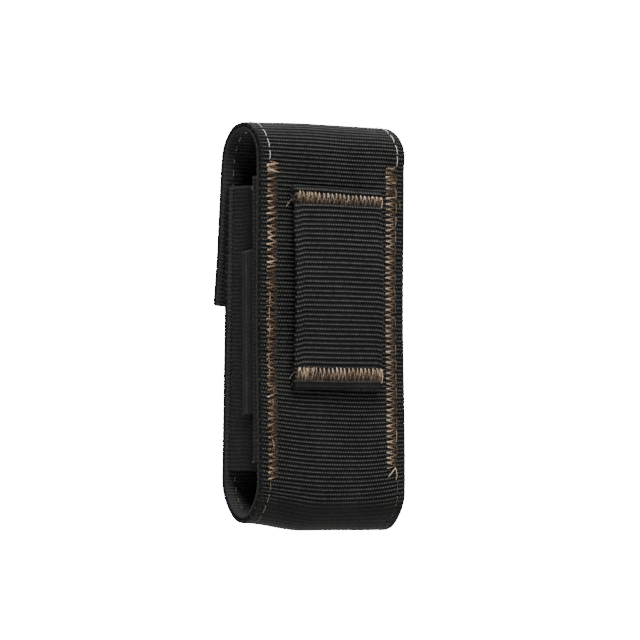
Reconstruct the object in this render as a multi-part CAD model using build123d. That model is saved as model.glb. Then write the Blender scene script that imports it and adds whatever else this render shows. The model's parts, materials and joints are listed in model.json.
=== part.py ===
from build123d import *
from math import cos, radians, sin, tan
import os

# Belt sheath for a folding multi-tool: one long webbing strap with a lining runs down the front, round the
# bottom, up the back and over the top into a flap. Elastic gussets close the sides, and a belt loop is sewn on
# the back. Millimetres. X is the width, +Y the back with the belt loop, +Z up.
# The outlines are drawn in sheath coordinates, with y = 0 midway through the pocket and z = 0 at half height.
# Every solid is then shifted so that the part's origin is the centre of the belt passage.

# Driving dimensions
strap_width = 50.0
outer_thickness = 1.3
lining_thickness = 1.0
strap_thickness = outer_thickness + lining_thickness
back_face_y = 9.4          # outer face of the back panel

# The strap's outer face, followed from the pocket mouth round to the end of the flap
mouth_y = -8.1
mouth_z = 38.0
front_tilt = 1.85          # degrees that the front panel leans out towards the bottom
front_length = 83.0
bottom_side_radius = 19.0  # the long gentle curves beside the rounded bottom
bottom_side_turn = 40.0
back_top_z = 44.6          # where the rigid back panel ends below the crown's hinge
arch_radii = (11.2, 8.0, 17.0)
arch_turns = (55.0, 75.0, 45.0)
flap_upper_length = 22.0
flap_flare_radius = 60.0
flap_flare_turn = 2.5
flap_lower_length = 13.3

# Hinge lines where the strap bends
nose_radius = strap_thickness / 2
hinge_clearance = 0.3
hinge_reach = nose_radius + hinge_clearance

# Elastic gussets and the accessory loops on their outside
elastic_thickness = 0.9
gusset_bottom_z = -43.4
gusset_top_z = 38.0
pleat_bottom_z = -41.1
pleat_top_z = 40.3
flange_x = 19.5            # inner end of the flanges sewn to the panels
pleat_x = 21.3             # how far the web sinks inwards behind the pleat
pleat_y = 5.3
pleat_lip_y = 3.85         # front edge of the outer fold
side_loop_bottom_z = -27.8
side_loop_top_z = 18.6
side_loop_nose_y = -1.2
side_loop_root_y = 3.5
side_loop_layer = 0.6
side_loop_slit = 0.2
side_loop_clearance = 0.08

# Belt loop on the back
loop_width = 30.5
loop_thickness = 1.3
loop_top_z = 37.3
loop_bottom_z = -20.4
loop_top_hem = 4.9
loop_bottom_hem = 6.3
loop_corner = 1.0

# Thread, sunk flush into the faces that it sews
thread_depth = 0.25
zigzag_width = 4.1
zigzag_x = 21.1
back_seam_z = (-45.6, 44.4)
front_seam_z = (-44.0, 35.0)
run_width = 0.8
run_x = 22.4
bartack_margin = 0.4
top_bartack_z = (32.4, 36.3)
bottom_bartack_z = (-18.2, -14.1)
mouth_stitch_z = 35.6
flap_stitch_rise = 3.2     # above the flap's end
cross_stitch_half = 18.0

# Press stud that holds the flap down
snap_z = 14.0
snap_shank_radius = 1.8
snap_flange_radius = 5.0
snap_flange_thickness = 0.4
stud_radius = 2.1
stud_height = 1.5
socket_bore_radius = 3.1
socket_height = 1.7
cap_radius = 6.2
cap_height = 1.5

origin = Vector(0, back_face_y + loop_thickness / 2, (top_bartack_z[0] + bottom_bartack_z[1]) / 2)

FRONT, BOTTOM, BACK, ARCH, FLAP = "front", "bottom", "back", "arch", "flap"
GAP_LOW, GAP_HIGH = "lower hinge gap", "upper hinge gap"


def bottom_tip_radius():
    """Radius that brings the bottom curve from the leaning front panel to the upright back panel."""
    front_y = mouth_y - front_length * sin(radians(front_tilt))
    side = cos(radians(bottom_side_turn))
    sides = bottom_side_radius * (cos(radians(front_tilt)) - side + 1 - side)
    return (back_face_y - front_y - sides) / (2 * side)


def strap_runs(back_length):
    """(part, length or radius, turn in degrees): straight runs have no turn, left turns are positive."""
    tip_turn = 180 - 2 * bottom_side_turn
    runs = [(FRONT, front_length, 0)]
    runs += [(BOTTOM, bottom_side_radius, bottom_side_turn + front_tilt)]
    runs += [(BOTTOM, bottom_tip_radius(), tip_turn)]
    runs += [(BOTTOM, bottom_side_radius, bottom_side_turn)]
    runs += [(BACK, back_length, 0), (GAP_LOW, hinge_reach, 0)]
    runs += [(ARCH, radius, turn) for radius, turn in zip(arch_radii, arch_turns)]
    runs += [(GAP_HIGH, hinge_reach, 0), (FLAP, flap_upper_length, 0)]
    runs += [(FLAP, flap_flare_radius, -flap_flare_turn), (FLAP, flap_lower_length, 0)]
    return runs


def follow(depth, runs):
    """Edges of the strap's face at a depth below its outer face, each with the name of its part."""
    lean = radians(front_tilt)
    point = Vector(mouth_y, mouth_z) + Vector(cos(lean), -sin(lean)) * depth
    heading = Vector(-sin(lean), -cos(lean))
    edges = []
    for part, size, turn in runs:
        if turn == 0:
            edge = Line(point, point + heading * size)
        else:
            radius = size - depth if turn > 0 else size + depth
            edge = JernArc(start=point, tangent=heading, radius=radius, arc_size=turn)
        point = edge @ 1
        heading = edge % 1
        edges.append((part, edge))
    return edges


def back_run_length():
    """The back panel's straight length, from the end of the bottom curve to the crown's hinge."""
    edges = follow(0, strap_runs(1.0))
    start_z = [edge for part, edge in edges if part == BACK][0].start_point().Y
    return back_top_z - start_z


RUNS = strap_runs(back_run_length())


def band(parts, near, far, x_low, x_high):
    """The strap between two depths and two widths, along the named parts of its path."""
    top = [edge for part, edge in follow(near, RUNS) if part in parts]
    under = [edge for part, edge in follow(far, RUNS) if part in parts]
    ends = [Line(top[0] @ 0, under[0] @ 0), Line(top[-1] @ 1, under[-1] @ 1)]
    face = Plane.YZ.offset(x_low) * make_face(top + under + ends)
    return extrude(face, amount=x_high - x_low, dir=(1, 0, 0))


def path_point(part, depth, at_end=False):
    """Where a part of the strap starts or ends, at a depth below its outer face, as (y, z)."""
    edges = [edge for name, edge in follow(depth, RUNS) if name == part]
    return edges[-1] @ 1 if at_end else edges[0] @ 0


def x_cylinder(radius, at):
    return Pos(0, at.X, at.Y) * Rot(0, 90, 0) * Cylinder(radius, 2 * strap_width)


def z_slab(low, high):
    return Pos(0, 0, (low + high) / 2) * Box(3 * strap_width, 3 * strap_width, high - low)


def strap_pieces(near, far, width):
    """One layer of the strap, cut into the pocket, the crown over the top, and the flap in front."""
    half = width / 2
    pocket = band((FRONT, BOTTOM, BACK), near, far, -half, half)
    crown = band((ARCH,), near, far, -half, half)
    flap = band((FLAP,), near, far, -half, half)
    for gap, at in ((GAP_LOW, LOWER_HINGE), (GAP_HIGH, UPPER_HINGE)):
        crown += band((gap,), near, far, -half, half) & x_cylinder(nose_radius, at)
    return pocket, crown, flap


def strips(parts, centre_x, width):
    """A stitched line on each side of the strap, sunk into its outer face: the pair at -x and +x."""
    half = width / 2
    right = band(parts, 0, thread_depth, centre_x - half, centre_x + half)
    left = band(parts, 0, thread_depth, -centre_x - half, -centre_x + half)
    return left, right


def front_inner_y(z):
    """The lining's inner face on the front panel, at a height."""
    lean = radians(front_tilt)
    return mouth_y - (mouth_z - z) * tan(lean) + strap_thickness / cos(lean)


def tape(start, end, thickness, z_low, z_high, before=0.0, after=0.0):
    """A flat length of elastic. Its centre line runs from start(z) to end(z) in plan, and past both by a little."""
    faces = []
    for z in (z_low, z_high):
        first, last = Vector(*start(z)), Vector(*end(z))
        along = (last - first).normalized()
        first, last = first - along * before, last + along * after
        side = Vector(-along.Y, along.X) * (thickness / 2)
        corners = [first + side, last + side, last - side, first - side]
        outline = Polyline(*[(c.X, c.Y, z) for c in corners], close=True)
        faces.append(make_face(outline))
    return loft(faces, ruled=True)


def gusset():
    """The elastic side at +x: sewn flange, web sinking inwards, pleat flush with the back edge, flange."""
    half = elastic_thickness / 2
    edge_x = strap_width / 2 - half
    back_y = back_face_y - strap_thickness - half

    def front_flange(z):
        return flange_x, front_inner_y(z) + half

    def front_corner(z):
        return edge_x, front_inner_y(z) + half

    def pleat(z):
        return pleat_x, pleat_y

    def lip(z):
        return edge_x, pleat_lip_y + half

    def back_corner(z):
        return edge_x, back_y

    def back_flange(z):
        return flange_x, back_y

    web_span = (gusset_bottom_z, gusset_top_z)
    pleat_span = (pleat_bottom_z, pleat_top_z)
    body = tape(front_flange, front_corner, elastic_thickness, *web_span, after=half)
    body += tape(front_corner, pleat, elastic_thickness, *web_span, after=half)
    body += tape(pleat, lip, elastic_thickness, *web_span, before=half)
    body += tape(lip, back_corner, elastic_thickness, *pleat_span, before=half, after=half)
    body += tape(back_flange, back_corner, elastic_thickness, *pleat_span, after=half)
    return body


def side_loop():
    """The flattened accessory loop at +x: two layers folded at the front, tucked under the pleat."""
    half = elastic_thickness / 2
    inner = half + side_loop_clearance + side_loop_layer / 2
    outer = inner + side_loop_layer + side_loop_slit

    def beside_web(y, away):
        """A point function: at each height, a distance outside the web's centre line."""

        def point(z):
            corner = Vector(strap_width / 2 - half, front_inner_y(z) + half)
            along = (Vector(pleat_x, pleat_y) - corner).normalized()
            out = Vector(along.Y, -along.X)
            at = corner + along * ((y - corner.Y) / along.Y) + out * away
            return at.X, at.Y

        return point

    span = (side_loop_bottom_z, side_loop_top_z)
    overlap = side_loop_layer / 2
    folds = [beside_web(side_loop_nose_y, away) for away in (inner, outer)]
    body = tape(*folds, side_loop_layer, *span, before=overlap, after=overlap)
    for away in (inner, outer):
        ends = beside_web(side_loop_nose_y, away), beside_web(side_loop_root_y, away)
        body += tape(*ends, side_loop_layer, *span)
    return body


def mirrored(shape):
    return mirror(shape, about=Plane.YZ)


def y_box(x_half, y_low, y_high, z_low, z_high):
    middle = Pos(0, (y_low + y_high) / 2, (z_low + z_high) / 2)
    return middle * Box(2 * x_half, y_high - y_low, z_high - z_low)


def belt_loop():
    """A flat strap whose two ends are folded under and stand on the back panel."""
    face_y = back_face_y + 2 * loop_thickness
    half = loop_width / 2
    body = y_box(half, back_face_y, face_y, loop_bottom_z, loop_top_z)
    ends = body.edges().filter_by(Axis.X).group_by(Axis.Y)[-1]
    body = fillet(ends, loop_corner)
    passage = y_box(
        loop_width,
        back_face_y - 1,
        back_face_y + loop_thickness,
        loop_bottom_z + loop_bottom_hem,
        loop_top_z - loop_top_hem,
    )
    return body - passage


def bartack(z_range):
    face_y = back_face_y + 2 * loop_thickness
    half = loop_width / 2 - bartack_margin
    return y_box(half, face_y - thread_depth, face_y, *z_range)


def disc(frame, radius, start, end):
    """A disc about a frame's own axis, between two distances along it."""
    return frame * Pos(0, 0, (start + end) / 2) * Cylinder(radius, end - start)


def panel_frame():
    """On the front panel's outer face at the press stud, its axis pointing out of the panel."""
    lean = radians(front_tilt)
    y = mouth_y - (mouth_z - snap_z) * tan(lean)
    return Plane(origin=(0, y, snap_z), z_dir=(0, -cos(lean), sin(lean)), x_dir=(1, 0, 0))


def flap_frame():
    """On the flap's outer face opposite the stud, its axis pointing out of the flap."""
    end = path_point(FLAP, 0, at_end=True)
    start = [edge for part, edge in follow(0, RUNS) if part == FLAP][-1] @ 0
    along = (start - end).normalized()
    outer = end + along * ((snap_z - end.Y) / along.Y)
    return Plane(origin=(0, outer.X, outer.Y), z_dir=(0, -along.Y, along.X), x_dir=(1, 0, 0))


def snap_parts():
    """The four pieces of the press stud: post and stud on the panel, cap and socket on the flap."""
    panel, flap = panel_frame(), flap_frame()
    through = strap_thickness
    thin = snap_flange_thickness
    post = disc(panel, snap_flange_radius, -through - thin, -through)
    post += disc(panel, snap_shank_radius, -through, 0)
    stud = disc(panel, snap_flange_radius, 0, thin)
    nub = panel * Pos(0, 0, thin + stud_height / 2) * Cylinder(stud_radius, stud_height)
    stud += fillet(nub.edges().group_by(Axis.Y)[0], stud_radius / 3)
    rise = cap_height
    dome_radius = (cap_radius**2 + rise**2) / (2 * rise)
    dome = Pos(0, 0, rise - dome_radius) * Sphere(dome_radius)
    cap = flap * (dome & Pos(0, 0, rise) * Box(4 * cap_radius, 4 * cap_radius, 2 * rise))
    cap += disc(flap, snap_shank_radius, -through, 0)
    socket = disc(flap, snap_flange_radius, -through - socket_height, -through)
    socket -= disc(flap, socket_bore_radius, -through - 2 * socket_height, -through - thin)
    return post, stud, cap, socket


def write(name, shape):
    solids = shape.solids()
    body = solids[0] if len(solids) == 1 else Compound(children=list(solids))
    export_step(Pos(-origin.X, -origin.Y, -origin.Z) * body, f"parts/{name}.step")


LOWER_HINGE = path_point(ARCH, nose_radius)
UPPER_HINGE = path_point(ARCH, nose_radius, at_end=True)


def main():
    os.makedirs("parts", exist_ok=True)
    post, stud, cap, socket = snap_parts()

    outer, crown_outer, flap_outer = strap_pieces(0, outer_thickness, strap_width)
    lining, crown_lining, flap_lining = strap_pieces(outer_thickness, strap_thickness, strap_width)

    back_left, back_right = strips((BACK,), zigzag_x, zigzag_width)
    front_left, front_right = strips((FRONT,), zigzag_x, zigzag_width)
    back_zone, front_zone = z_slab(*back_seam_z), z_slab(*front_seam_z)
    bottom_left, bottom_right = strips((BOTTOM,), run_x, run_width)
    crown_left, crown_right = strips((ARCH,), run_x, run_width)
    flap_left, flap_right = strips((FLAP,), run_x, run_width)
    half_run = run_width / 2
    mouth_row = band((FRONT,), 0, thread_depth, -cross_stitch_half, cross_stitch_half)
    mouth_row &= z_slab(mouth_stitch_z - half_run, mouth_stitch_z + half_run)
    flap_row_z = path_point(FLAP, 0, at_end=True).Y + flap_stitch_rise
    flap_row = band((FLAP,), 0, thread_depth, -cross_stitch_half, cross_stitch_half)
    flap_row &= z_slab(flap_row_z - half_run, flap_row_z + half_run)

    root_thread = {
        "left_back_seam": back_left & back_zone,
        "right_back_seam": back_right & back_zone,
        "left_front_seam": front_left & front_zone,
        "right_front_seam": front_right & front_zone,
        "left_bottom_stitch": bottom_left,
        "right_bottom_stitch": bottom_right,
        "mouth_stitch": mouth_row,
    }
    crown_thread = {"left_crown_stitch": crown_left, "right_crown_stitch": crown_right}
    flap_thread = {
        "left_flap_stitch": flap_left,
        "right_flap_stitch": flap_right,
        "flap_end_stitch": flap_row,
    }
    for thread in root_thread.values():
        outer -= thread
    for thread in crown_thread.values():
        crown_outer -= thread
    for thread in flap_thread.values():
        flap_outer -= thread
    outer -= post
    lining -= post
    flap_outer -= cap
    flap_lining -= cap

    loop = belt_loop()
    bartacks = {
        "belt_loop_top_bartack": bartack(top_bartack_z),
        "belt_loop_bottom_bartack": bartack(bottom_bartack_z),
    }
    for thread in bartacks.values():
        loop -= thread

    side, accessory = gusset(), side_loop()
    nodes = {
        "outer_webbing": outer,
        "lining_webbing": lining,
        "crown_webbing": crown_outer,
        "crown_lining": crown_lining,
        "flap_webbing": flap_outer,
        "flap_lining": flap_lining,
        "right_gusset": side,
        "left_gusset": mirrored(side),
        "right_side_loop": accessory,
        "left_side_loop": mirrored(accessory),
        "belt_loop": loop,
        "snap_post": post,
        "snap_stud": stud,
        "snap_cap": cap,
        "snap_socket": socket,
    }
    for group in (root_thread, crown_thread, flap_thread, bartacks):
        nodes.update(group)
    for name, shape in nodes.items():
        write(name, shape)

    for name, at in (("flap_lift", LOWER_HINGE), ("flap_unbend", UPPER_HINGE)):
        print(name, "at y, z", round(at.X - origin.Y, 3), round(at.Y - origin.Z, 3))
    print("bottom tip radius", round(bottom_tip_radius(), 3), "nodes", len(nodes))


if __name__ == "__main__":
    main()
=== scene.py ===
import json
import math

import bpy
import numpy as np
from mathutils import Matrix, Vector


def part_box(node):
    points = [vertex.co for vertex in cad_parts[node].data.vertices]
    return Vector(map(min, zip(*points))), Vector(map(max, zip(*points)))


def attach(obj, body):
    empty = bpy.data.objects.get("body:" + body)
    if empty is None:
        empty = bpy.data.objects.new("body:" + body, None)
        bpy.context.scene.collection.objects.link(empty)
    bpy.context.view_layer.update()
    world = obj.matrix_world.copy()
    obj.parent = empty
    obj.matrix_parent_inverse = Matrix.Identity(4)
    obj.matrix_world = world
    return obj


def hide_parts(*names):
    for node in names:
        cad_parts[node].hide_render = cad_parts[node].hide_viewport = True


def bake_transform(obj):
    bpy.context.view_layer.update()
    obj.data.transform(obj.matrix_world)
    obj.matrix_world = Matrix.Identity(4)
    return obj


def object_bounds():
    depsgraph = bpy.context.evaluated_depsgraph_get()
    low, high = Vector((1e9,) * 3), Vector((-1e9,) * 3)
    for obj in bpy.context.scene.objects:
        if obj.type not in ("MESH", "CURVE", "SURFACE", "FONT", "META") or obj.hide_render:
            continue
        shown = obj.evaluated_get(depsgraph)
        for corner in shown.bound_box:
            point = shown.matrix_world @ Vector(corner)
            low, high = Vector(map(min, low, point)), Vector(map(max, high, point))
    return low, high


# A webbing belt sheath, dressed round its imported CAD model. The pieces are worked out in millimetres in the
# sheath's own coordinates (x = 0 down its middle, y = 0 midway through the pocket, z = 0 at half its height,
# with the belt loop on +y and the flap on -y) and are placed in the row's frame, in metres, when made.
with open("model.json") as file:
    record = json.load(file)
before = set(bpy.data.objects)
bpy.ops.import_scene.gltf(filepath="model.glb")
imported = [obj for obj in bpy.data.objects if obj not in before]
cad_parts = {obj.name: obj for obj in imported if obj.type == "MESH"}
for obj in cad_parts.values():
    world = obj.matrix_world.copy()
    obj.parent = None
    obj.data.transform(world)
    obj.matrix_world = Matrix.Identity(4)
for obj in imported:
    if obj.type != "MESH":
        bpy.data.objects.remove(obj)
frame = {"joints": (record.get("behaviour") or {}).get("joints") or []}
cad_low, cad_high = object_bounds()

MM = 0.001

# The strap's path, as the CAD model draws it
BACK_FACE = 9.4
MOUTH = (-8.1, 38.0)
FRONT_TILT = 1.85
FRONT_LENGTH = 83.0
BOTTOM_RADIUS = 19.0
BOTTOM_TURN = 40.0
BACK_TOP = 44.6
HINGE_GAP = 1.45
ARCH = ((11.2, 55.0), (8.0, 75.0), (17.0, 45.0))
FLAP = ((22.0, 0.0), (60.0, -2.5), (13.3, 0.0))
LOOP_TOP = 37.3

# Where the sheath's own origin lies in the row's frame
ORIGIN_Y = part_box("left_back_seam")[1].y / MM - BACK_FACE
ORIGIN_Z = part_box("belt_loop")[1].z / MM - LOOP_TOP


def cad_box(node):
    """A CAD node's lowest and highest corners, in the sheath's own millimetres."""
    low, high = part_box(node)
    return [(np.array(corner) / MM - [0.0, ORIGIN_Y, ORIGIN_Z]).tolist() for corner in (low, high)]


HALF_WIDTH = cad_box("outer_webbing")[1][0]

# Cloth
OUTER_LAYER = (0.0, 1.27)  # depths of the outer webbing's faces below the strap's outer face
LINING_LAYER = (1.31, 2.3)
STRAP_THICKNESS = 2.3
STRAP_PITCH = 1.20  # from one woven rib to the next, in the lining too
LOOP_PITCH = 1.365
ELASTIC_PITCH = 1.15
STATIONS = 6  # rings of points in one rib
STRAP_RELIEF = 0.34
LINING_RELIEF = 0.12
LOOP_RELIEF = 0.34
ELASTIC_RELIEF = 0.14
SELVEDGE = 1.3  # from the edge to the groove beside it

# Thread
THREAD_RADIUS = 0.15
RUN_RADIUS = 0.13
RUN_X = 22.4
RUN_STITCH = 3.1
RUN_GAP = 1.0
HOLE_DEPTH = 0.25
ZIGZAG_PERIOD = 1.53
BARTACK_PERIOD = 1.45
CLEAN_RADIUS = 0.17  # the left back seam's thread
DOUBLE_RADIUS = 0.22  # the right back seam's, which is thicker
PLY_TURN = 0.75  # length in which the two plies wind round once

rng = np.random.default_rng(11)


def ramp(value, start, end):
    """0 before start, 1 after end, smooth in between."""
    share = np.clip((value - start) / (end - start), 0, 1)
    return share * share * (3 - 2 * share)


# ---- the strap's path


class Path:
    """A strip's outer face seen from the side, as straight runs and arcs. A turn to the left is positive,
    and the strip's thickness lies to the left of its heading."""

    def __init__(self, start, heading, runs):
        self.knots, self.starts, self.headings, self.bends = [0.0], [start], [heading], []
        for size, turn in runs:
            length = abs(math.radians(turn)) * size if turn else size
            self.bends.append(math.radians(turn) / length)
            self.knots.append(self.knots[-1] + length)
            y, z, angle = self.raw(np.array(self.knots[-1]))
            self.starts.append((float(y), float(z)))
            self.headings.append(float(angle))
        self.length = self.knots[-1]

    def raw(self, s):
        """The outer face's y, z and heading at lengths s from the start, straight on past both ends."""
        run = np.clip(np.searchsorted(self.knots, s, side="right") - 1, 0, len(self.bends) - 1)
        kept = (self.starts, self.headings, self.bends, self.knots)
        starts, heading, bend, knot = (np.array(values)[run] for values in kept)
        ahead = s - knot
        angle = heading + bend * ahead
        safe = np.where(bend == 0, 1, bend)
        y = np.where(bend == 0, ahead * np.cos(heading), (np.sin(angle) - np.sin(heading)) / safe)
        z = np.where(bend == 0, ahead * np.sin(heading), (np.cos(heading) - np.cos(angle)) / safe)
        return starts[..., 0] + y, starts[..., 1] + z, angle

    def at(self, s, depth):
        """y and z at lengths s, at depths below the outer face."""
        y, z, angle = self.raw(s)
        return y - np.sin(angle) * depth, z + np.cos(angle) * depth

    def outward(self, s):
        """The outer face's normal at lengths s."""
        angle = self.raw(s)[2]
        return np.stack([np.zeros_like(angle), np.sin(angle), -np.cos(angle)], -1)


def strap_path():
    """The strap from the mouth down the front, round the bottom, up the back and over into the flap."""
    lean = math.radians(FRONT_TILT)
    front_foot = MOUTH[0] - FRONT_LENGTH * math.sin(lean)
    side = math.cos(math.radians(BOTTOM_TURN))
    sides = BOTTOM_RADIUS * (math.cos(lean) - side + 1 - side)
    tip_radius = (BACK_FACE - front_foot - sides) / (2 * side)
    runs = [
        (FRONT_LENGTH, 0.0),
        (BOTTOM_RADIUS, BOTTOM_TURN + FRONT_TILT),
        (tip_radius, 180 - 2 * BOTTOM_TURN),
        (BOTTOM_RADIUS, BOTTOM_TURN),
    ]
    heading = -math.pi / 2 - lean
    back_foot = Path(MOUTH, heading, runs).starts[-1][1]
    runs += [(BACK_TOP - back_foot, 0.0), (HINGE_GAP, 0.0), *ARCH, (HINGE_GAP, 0.0), *FLAP]
    return Path(MOUTH, heading, runs)


STRAP = strap_path()
S_TIP, S_TIP_END = STRAP.knots[2], STRAP.knots[3]
S_BACK_END = STRAP.knots[5]
S_ARCH, S_ARCH_END = STRAP.knots[6], STRAP.knots[9]
S_APEX = S_ARCH + 0.5 * (S_ARCH_END - S_ARCH)
S_END = STRAP.length


def front_s(z):
    """Length along the strap of a height on the front panel."""
    return (MOUTH[1] - z) / math.cos(math.radians(FRONT_TILT))


def back_s(z):
    """Length along the strap of a height on the back panel."""
    return S_BACK_END - (BACK_TOP - z)


def flap_s(z):
    """Length along the strap of a height on the flap's straight lower end."""
    angle = STRAP.headings[-1]
    return S_END + (z - STRAP.starts[-1][1]) / math.sin(angle)


def settle(points):
    """How the sewn sheath leaves its drawing: the bottom's +x edge sits higher and its -x edge lower, the
    arch's +x edge lower and its front there fuller, the back's edges sink a little at half height, and its
    corners are fuller at the -x edge."""
    x, y, z = points[..., 0], points[..., 1], points[..., 2]
    side = ramp(x, 4, HALF_WIDTH)
    far = ramp(-x, 0, HALF_WIDTH)
    lift = 2.1 * side * ramp(-z, 44, 60)
    droop = 0.6 * side * ramp(z, 46, 57) + (0.35 * (1 - side) + 0.3 * far) * ramp(-z, 46, 60)
    middle = ramp(z, -40, 0) * ramp(-z, -45, 0)
    sink = 0.65 * ramp(np.abs(x), 9, HALF_WIDTH) * ramp(y, 0, 8) * middle
    corners = ramp(z, 43, 50) * ramp(-z, -58, -53) + ramp(-z, 46, 53) * ramp(z, -60, -56)
    full = 0.7 * far * corners * ramp(y, 3, 8)
    shoulder = 0.5 * side * ramp(z, 44, 51) * ramp(-y, 1, 5)
    moved = np.array(points, float)
    moved[..., 1] += full - sink - shoulder
    moved[..., 2] += lift - droop + 0.6 * shoulder
    return moved


# ---- making meshes


def add_object(name, data):
    """A new object in the scene."""
    made = bpy.data.objects.new(name, data)
    bpy.context.scene.collection.objects.link(made)
    return made


def make_piece(name, points, faces, material, attributes):
    """A mesh object from points in the sheath's millimetres. Attributes are a vector for each point."""
    placed = (np.asarray(points, float) + [0.0, ORIGIN_Y, ORIGIN_Z]) * MM
    mesh = bpy.data.meshes.new(name)
    mesh.from_pydata(placed.tolist(), [], faces)
    for attribute_name, values in attributes.items():
        attribute = mesh.attributes.new(attribute_name, "FLOAT_VECTOR", "POINT")
        attribute.data.foreach_set("vector", np.asarray(values, np.float32).ravel())
    mesh.polygons.foreach_set("use_smooth", [True] * len(mesh.polygons))
    mesh.materials.append(material)
    mesh.update()
    return add_object(name, mesh)


def signed_volume(points, faces):
    """Six times the volume that the faces enclose, negative if they face inwards."""
    fans = [(f[0], f[i], f[i + 1]) for f in faces for i in range(1, len(f) - 1)]
    a, b, c = (points[np.array(fans)[:, i]] for i in range(3))
    return float((a * np.cross(b, c)).sum())


def loft_faces(count, size):
    """Quads over `count` closed rings of `size` points, with a cap at each end."""
    index = np.arange(count * size).reshape(count, size)
    first, second = index[:-1], index[1:]
    quads = np.stack([first, second, np.roll(second, -1, 1), np.roll(first, -1, 1)], -1)
    return quads.reshape(-1, 4).tolist() + [index[0].tolist(), index[-1][::-1].tolist()]


def loft(name, rings, weave, material):
    """A closed skin over rings of points, facing outwards."""
    faces = loft_faces(*rings.shape[:2])
    points = rings.reshape(-1, 3)
    if signed_volume(points - points.mean(0), faces) < 0:
        faces = [face[::-1] for face in faces]
    return make_piece(name, points, faces, material, {"weave": weave.reshape(-1, 3)})


def distances(line):
    """How far along a line each of its points is."""
    return np.concatenate([[0], np.cumsum(np.linalg.norm(np.diff(line, axis=0), axis=1))])


def rib_stations(ribs):
    """Places along a row of ribs: counted in ribs, each one's rib, and how far across that rib it is."""
    phase = np.arange(ribs * STATIONS + 1) / STATIONS
    return phase, np.minimum(phase.astype(int), ribs - 1), (phase % 1.0)[:, None]


def columns(half, fine):
    """Places across a strip. Where they are fine, they are closest in the selvedges."""
    if not fine:
        return np.linspace(-half, half, 9)
    edge = half - np.array([0.0, 0.3, 0.6, 0.85, 1.1, 1.4, 1.75, 2.2])
    inner = np.linspace(-edge[-1], edge[-1], round(2 * edge[-1] / 1.35) + 1)
    return np.concatenate([-edge[:-1], inner, edge[:-1][::-1]])


def section(half, layer, fine):
    """One ring round a strip's section: x, depth and face (1 is outer, -1 inner, 0 at the edge)."""
    near, far = layer
    radius = (far - near) / 2
    flat = half - radius
    top, under = columns(flat, fine[0]), columns(flat, fine[1])[::-1]
    turn = np.radians([66, 45, 18, -18, -45, -66])
    squareness = 0.5
    edge_x = flat + radius * np.cos(turn) ** squareness
    edge_depth = near + radius * (1 - np.sign(turn) * np.abs(np.sin(turn)) ** squareness)
    x = np.concatenate([top, edge_x, under, -edge_x[::-1]])
    depth = np.concatenate([np.full(len(top), near), edge_depth, np.full(len(under), far), edge_depth[::-1]])
    edge_face = np.sin(turn)
    face = np.concatenate([np.ones(len(top)), edge_face, -np.ones(len(under)), edge_face[::-1]])
    return x, depth, face


def rib_profile(u):
    """A rib's height across its own width, from the valley at 0 to the next at 1."""
    return np.sqrt(np.clip(1 - (2 * u - 1) ** 2, 0, 1))


def waver(x, s, scale):
    """How far the ribs wander along the strip at a place across it: long waves shared by neighbours."""
    slow = np.sin(x / 6.1 + s / 19.0) + 0.7 * np.sin(x / 3.3 - s / 11.0 + 1.3) + 0.5 * np.sin(x / 11.0 + 2.1)
    return 0.055 * scale * slow


def ribbed_strip(name, path, span, layer, half, pitch, relief, material, drift, press, bevel=(0.0, 0.0),
                 shape=None, fullness=0.42, edge_relief=0.4, groove_depth=0.16, rim=1.0):
    """A woven strip along a path, from one length to another. relief is the ribs' height on the outer and
    inner faces. drift(x, s) moves ribs along the strip. press(x, s) gives how far stitches pull the cloth
    down and the share of the relief that it keeps. bevel rounds each end. fullness is how far the edge yarns
    stand out past the cut width, edge_relief the share of the relief left in the selvedges, and groove_depth
    how deep the line beside them is. rim is 1 for cut-looking rims, 0 for ribs that run on round them."""
    ring_x, ring_depth, face = section(half, layer, [r > 0 for r in relief])
    ribs = round((span[1] - span[0]) / pitch)
    edges = np.linspace(span[0], span[1], ribs + 1)
    edges[1:-1] += rng.normal(0, 0.035, ribs - 1)
    phase, rib, u = rib_stations(ribs)
    s = np.interp(phase, np.arange(ribs + 1), edges)[:, None]
    height = rib_profile(u) * (1 + rng.normal(0, 0.07, ribs)[rib][:, None]) - 0.45
    tilt = rng.normal(0, 0.0016, ribs)[rib][:, None]

    x = np.repeat(ring_x[None], len(phase), 0)
    from_ends = np.minimum(s - span[0], span[1] - s)
    inside = ramp(from_ends, 0, 3 * pitch)
    along = s + inside * (drift(x, s) + tilt * x)
    sink, kept = press(x, along)
    groove = groove_depth * np.exp(-(((half - np.abs(x) - SELVEDGE) / 0.22) ** 2))
    near_edge = 1 - (1 - edge_relief) * ramp(np.abs(x), half - 1.5, half - 0.8)
    up = np.maximum(face, 0) * (relief[0] * height * kept * near_edge - sink - groove * (relief[0] > 0))
    down = np.maximum(-face, 0) * (relief[1] * height * near_edge - 0.5 * groove * (relief[1] > 0))
    edge_share = np.sqrt(1 - face**2)
    pair = 0.5 - 0.5 * np.cos(np.pi * phase)[:, None]
    x = x + np.sign(x) * edge_share * (fullness + 0.07 * rib_profile(u) + 0.06 * pair)
    depth = ring_depth - up + down
    middle = sum(layer) / 2
    for end, amount in zip((span[0], span[1]), bevel):
        if amount:
            closeness = np.clip(1 - np.abs(along - end) / amount, 0, 1)
            cut = 1 - np.sqrt(1 - closeness**2 * 0.9)
            x = x * (1 - cut * amount / half)
            depth = middle + (depth - middle) * (1 - 0.45 * cut)
    y, z = path.at(along, depth)
    rings = np.stack([x, y, z], -1)
    if shape:
        rings = shape(rings)
    rim_share = rim * (1 - np.abs(face))
    # strength also sets the painted crest highlight and valley shade: it is low where ribs are pressed and
    # where the bends stretch them, which paints the bottom curve and the arch darker, painted shade
    strength = (1 - rim_share) * kept * (0.4 + 0.6 * near_edge) - rim_share
    weave = np.stack([x, np.repeat(phase[:, None], x.shape[1], 1), strength], -1)
    return loft(name, settle(rings), weave, material)


# ---- materials


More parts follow.
